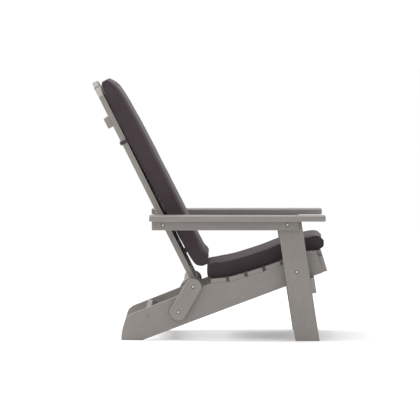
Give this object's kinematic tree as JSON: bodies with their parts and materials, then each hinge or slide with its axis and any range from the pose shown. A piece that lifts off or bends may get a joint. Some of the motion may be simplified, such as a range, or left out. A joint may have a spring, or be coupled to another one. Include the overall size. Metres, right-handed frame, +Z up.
{
  "type": "adirondack chair",
  "caption": "Folding slatted wooden garden armchair with an arched slat back, wide flat armrests, pivoting link plates and a padded seat and back cushion.",
  "frame": {"origin": "on the floor, at the middle of the chair's footprint box", "axes": "+X the way the sitter faces, +Y the sitter's left, +Z up"},
  "size_m": [0.8594, 0.735, 0.9459],
  "materials": {
    "grey_wood": "grey stained hardwood, satin",
    "cushion_fabric": "dark taupe woven outdoor fabric over foam",
    "strap_webbing": "flat woven tape in the cushion colour",
    "zinc_steel": "zinc plated, dull",
    "nylon": "grey nylon, matte"
  },
  "bodies": {
    "seat_frame": {"side_rail_right": "grey_wood", "side_rail_left": "grey_wood", "seat_slat_1": "grey_wood", "seat_slat_2": "grey_wood", "seat_slat_3": "grey_wood", "seat_slat_4": "grey_wood", "seat_slat_5": "grey_wood", "seat_slat_6": "grey_wood", "front_apron": "grey_wood", "rear_stretcher": "grey_wood", "seat_slat_screws": "zinc_steel", "apron_screws": "zinc_steel", "stretcher_screws": "zinc_steel", "link_lower_bolts": "zinc_steel", "link_lower_nuts": "zinc_steel", "link_lower_washers": "nylon", "leg_bolts": "zinc_steel", "leg_nuts": "zinc_steel", "leg_spacers": "nylon", "seat_cushion": "cushion_fabric"},
    "link_right": {"link_plate_right": "grey_wood"},
    "link_left": {"link_plate_left": "grey_wood"},
    "back": {"back_slat_1": "grey_wood", "back_slat_2": "grey_wood", "back_slat_3": "grey_wood", "back_slat_4": "grey_wood", "back_slat_5": "grey_wood", "top_crossbar": "grey_wood", "middle_brace": "grey_wood", "lower_brace": "grey_wood", "back_slat_screws": "zinc_steel", "link_upper_bolts": "zinc_steel", "link_upper_nuts": "zinc_steel", "link_upper_washers": "nylon", "arm_rear_bolts": "zinc_steel", "arm_rear_inserts": "zinc_steel", "arm_rear_washers": "nylon", "back_cushion": "cushion_fabric", "back_strap": "strap_webbing"},
    "arm_right": {"armrest_right": "grey_wood", "arm_rail_right": "grey_wood", "armrest_screws_right": "zinc_steel", "arm_front_bolt_right": "zinc_steel", "arm_front_washer_right": "nylon"},
    "arm_left": {"armrest_left": "grey_wood", "arm_rail_left": "grey_wood", "armrest_screws_left": "zinc_steel", "arm_front_bolt_left": "zinc_steel", "arm_front_washer_left": "nylon"},
    "front_legs": {"front_leg_right": "grey_wood", "front_leg_left": "grey_wood", "leg_brace": "grey_wood", "leg_brace_screws": "zinc_steel", "leg_top_inserts": "zinc_steel"}
  },
  "joints": [
    {"name": "link_right", "type": "hinge", "parent": "seat_frame", "child": "link_right", "pos_m": [-0.11108, -0.277, 0.103], "axis": [0, -1, 0], "range_deg": [0, 75]},
    {"name": "link_left", "type": "hinge", "parent": "seat_frame", "child": "link_left", "pos_m": [-0.11108, 0.277, 0.103], "axis": [0, -1, 0], "range_deg": [0, 75]},
    {"name": "back_fold", "type": "hinge", "parent": "link_right", "child": "back", "pos_m": [-0.05738, 0, 0.1945], "axis": [0, 1, 0], "range_deg": [0, 134.28]},
    {"name": "arm_right", "type": "hinge", "parent": "back", "child": "arm_right", "pos_m": [-0.16568, -0.319, 0.42], "axis": [0, -1, 0], "range_deg": [0, 61.13]},
    {"name": "arm_left", "type": "hinge", "parent": "back", "child": "arm_left", "pos_m": [-0.16568, 0.319, 0.42], "axis": [0, -1, 0], "range_deg": [0, 61.13]},
    {"name": "front_legs", "type": "hinge", "parent": "seat_frame", "child": "front_legs", "pos_m": [0.31792, 0, 0.2503], "axis": [0, 1, 0], "range_deg": [0, 40.16]}
  ],
  "couplings": [
    {"joint": "link_left", "follows": "link_right", "ratio": 1},
    {"joint": "back_fold", "follows": "link_right", "ratio": 1.7903},
    {"joint": "arm_right", "follows": "link_right", "ratio": 0.81493},
    {"joint": "arm_left", "follows": "link_right", "ratio": 0.81493},
    {"joint": "front_legs", "follows": "link_right", "ratio": 0.53535}
  ]
}
